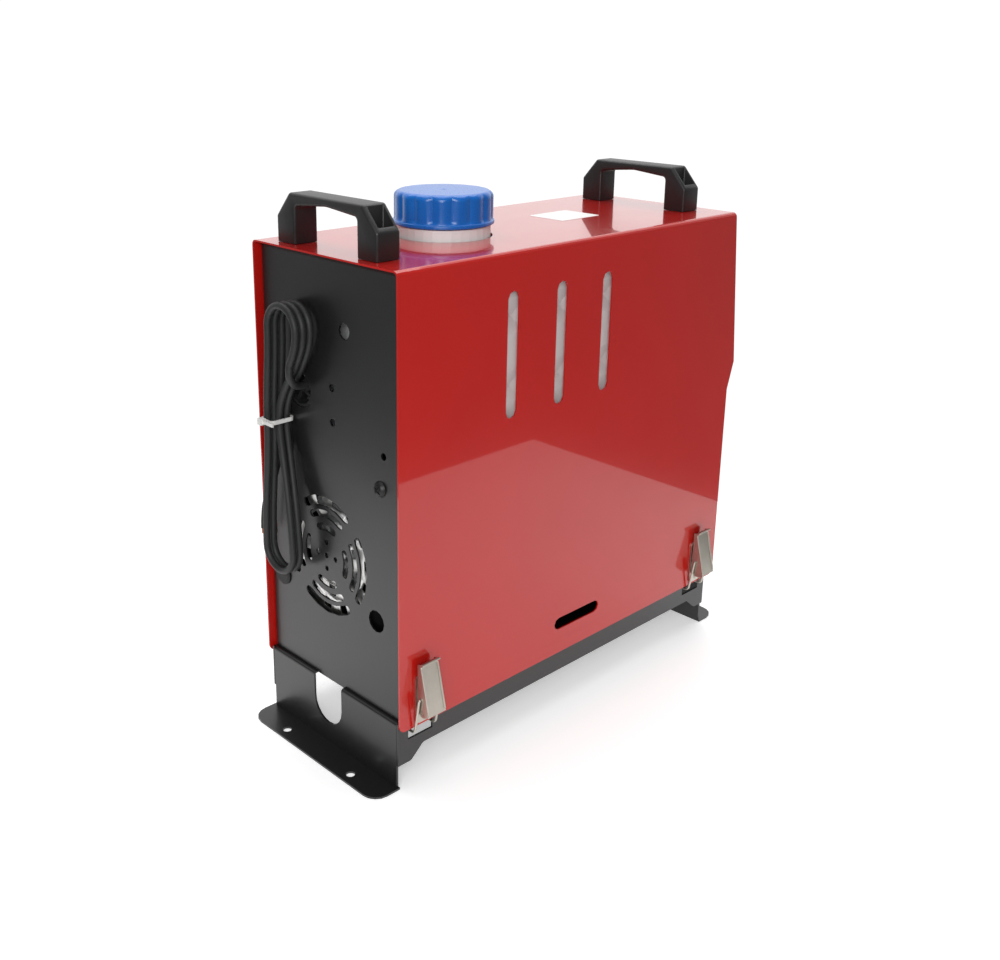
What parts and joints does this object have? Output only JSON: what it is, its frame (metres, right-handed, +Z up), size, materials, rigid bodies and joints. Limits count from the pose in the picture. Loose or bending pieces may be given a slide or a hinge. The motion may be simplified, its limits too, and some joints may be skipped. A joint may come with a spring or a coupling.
{
  "type": "diesel air heater",
  "caption": "Portable diesel air heater in a red steel case with black ends, carry handles, fuel filler cap, draw latches and a coiled power lead.",
  "frame": {"origin": "on the ground, under the middle of the case", "axes": "+X along the case towards the warm-air outlet, +Y towards the rear long side, +Z up"},
  "size_m": [0.3956, 0.1772, 0.394],
  "materials": {
    "red_paint": "gloss",
    "black_paint": "satin",
    "black_plastic": "matte",
    "blue_plastic": "satin",
    "tank_plastic": "translucent",
    "white_nylon": "satin",
    "plated_steel": "satin",
    "cast_aluminium": "cast",
    "grey_plastic": "satin",
    "black_rubber": "matte",
    "lead_sheath": "satin",
    "red_sheath": "satin",
    "display_glass": "gloss"
  },
  "bodies": {
    "case": {"black_wire": "lead_sheath", "blower_motor": "cast_aluminium", "burner_head": "cast_aluminium", "burner_tube": "plated_steel", "cable_tie": "white_nylon", "control_bezel": "black_plastic", "control_unit": "black_plastic", "cover": "red_paint", "delivery_hose": "black_rubber", "display_lens": "display_glass", "fuel_filter": "white_nylon", "fuel_pump": "plated_steel", "fuel_tank": "tank_plastic", "glow_plug": "plated_steel", "handle_left": "black_plastic", "handle_right": "black_plastic", "heat_exchanger": "cast_aluminium", "heater_lower_casing": "black_plastic", "heater_stand": "black_paint", "heater_upper_casing": "black_plastic", "inlet_panel": "black_paint", "latch_base_front_left": "plated_steel", "latch_base_front_right": "plated_steel", "latch_base_rear_left": "plated_steel", "latch_base_rear_right": "plated_steel", "lead_bushing": "white_nylon", "mounting_gasket": "black_rubber", "outlet_collar": "black_plastic", "outlet_panel": "black_paint", "panel_plug": "black_rubber", "panel_screw_front": "plated_steel", "panel_screw_rear": "plated_steel", "power_lead_exit": "lead_sheath", "power_lead_hank": "lead_sheath", "power_lead_tail": "lead_sheath", "pump_hose": "black_rubber", "pump_mount": "black_rubber", "red_wire": "red_sheath", "suction_hose": "black_rubber", "tank_shelf": "black_paint", "tray": "black_paint", "tray_rail_front": "black_paint", "tray_rail_rear": "black_paint"},
    "rotor": {"motor_shaft": "plated_steel", "combustion_fan": "cast_aluminium", "blower_wheel": "grey_plastic"},
    "seal": {"cap_seal": "black_rubber"},
    "cap": {"filler_cap": "blue_plastic"},
    "lever_front_left": {"latch_lever_front_left": "plated_steel"},
    "bail_front_left": {"latch_bail_front_left": "plated_steel"},
    "lever_front_right": {"latch_lever_front_right": "plated_steel"},
    "bail_front_right": {"latch_bail_front_right": "plated_steel"},
    "lever_rear_left": {"latch_lever_rear_left": "plated_steel"},
    "bail_rear_left": {"latch_bail_rear_left": "plated_steel"},
    "lever_rear_right": {"latch_lever_rear_right": "plated_steel"},
    "bail_rear_right": {"latch_bail_rear_right": "plated_steel"},
    "key_1": {"button_1": "grey_plastic"},
    "key_2": {"button_2": "grey_plastic"},
    "key_3": {"button_3": "grey_plastic"},
    "key_4": {"button_4": "grey_plastic"}
  },
  "joints": [
    {"name": "rotor_spin", "type": "hinge", "parent": "case", "child": "rotor", "pos_m": [-0.1, 0.007, 0.147], "axis": [1, 0, 0], "continuous": true},
    {"name": "cap_lift", "type": "slide", "parent": "case", "child": "seal", "axis": [0, 0, 1], "range_m": [0, 0.012]},
    {"name": "cap_turn", "type": "hinge", "parent": "seal", "child": "cap", "pos_m": [-0.066, 0.004, 0.38], "axis": [0, 0, 1], "range_deg": [0, 720]},
    {"name": "lever_front_left_open", "type": "hinge", "parent": "case", "child": "lever_front_left", "pos_m": [-0.156, -0.0825, 0.06], "axis": [1, 0, 0], "range_deg": [0, 120]},
    {"name": "bail_front_left_swing", "type": "hinge", "parent": "lever_front_left", "child": "bail_front_left", "pos_m": [-0.156, -0.081, 0.0693], "axis": [1, 0, 0], "range_deg": [-82, 0]},
    {"name": "lever_front_right_open", "type": "hinge", "parent": "case", "child": "lever_front_right", "pos_m": [0.156, -0.0825, 0.06], "axis": [1, 0, 0], "range_deg": [0, 120]},
    {"name": "bail_front_right_swing", "type": "hinge", "parent": "lever_front_right", "child": "bail_front_right", "pos_m": [0.156, -0.081, 0.0693], "axis": [1, 0, 0], "range_deg": [-82, 0]},
    {"name": "lever_rear_left_open", "type": "hinge", "parent": "case", "child": "lever_rear_left", "pos_m": [-0.156, 0.0825, 0.06], "axis": [-1, 0, 0], "range_deg": [0, 120]},
    {"name": "bail_rear_left_swing", "type": "hinge", "parent": "lever_rear_left", "child": "bail_rear_left", "pos_m": [-0.156, 0.081, 0.0693], "axis": [-1, 0, 0], "range_deg": [-82, 0]},
    {"name": "lever_rear_right_open", "type": "hinge", "parent": "case", "child": "lever_rear_right", "pos_m": [0.156, 0.0825, 0.06], "axis": [-1, 0, 0], "range_deg": [0, 120]},
    {"name": "bail_rear_right_swing", "type": "hinge", "parent": "lever_rear_right", "child": "bail_rear_right", "pos_m": [0.156, 0.081, 0.0693], "axis": [-1, 0, 0], "range_deg": [-82, 0]},
    {"name": "key_1_press", "type": "slide", "parent": "case", "child": "key_1", "axis": [-0.9945, 0, -0.1043], "range_m": [0, 0.001], "stiffness_N_per_m": 400},
    {"name": "key_2_press", "type": "slide", "parent": "case", "child": "key_2", "axis": [-0.9945, 0, -0.1043], "range_m": [0, 0.001], "stiffness_N_per_m": 400},
    {"name": "key_3_press", "type": "slide", "parent": "case", "child": "key_3", "axis": [-0.9945, 0, -0.1043], "range_m": [0, 0.001], "stiffness_N_per_m": 400},
    {"name": "key_4_press", "type": "slide", "parent": "case", "child": "key_4", "axis": [-0.9945, 0, -0.1043], "range_m": [0, 0.001], "stiffness_N_per_m": 400}
  ],
  "couplings": [
    {"joint": "cap_lift", "follows": "cap_turn", "m_per_rad": 0.00095},
    {"joint": "bail_front_left_swing", "follows": "lever_front_left_open", "ratio": -0.68},
    {"joint": "bail_front_right_swing", "follows": "lever_front_right_open", "ratio": -0.68},
    {"joint": "bail_rear_left_swing", "follows": "lever_rear_left_open", "ratio": -0.68},
    {"joint": "bail_rear_right_swing", "follows": "lever_rear_right_open", "ratio": -0.68}
  ]
}
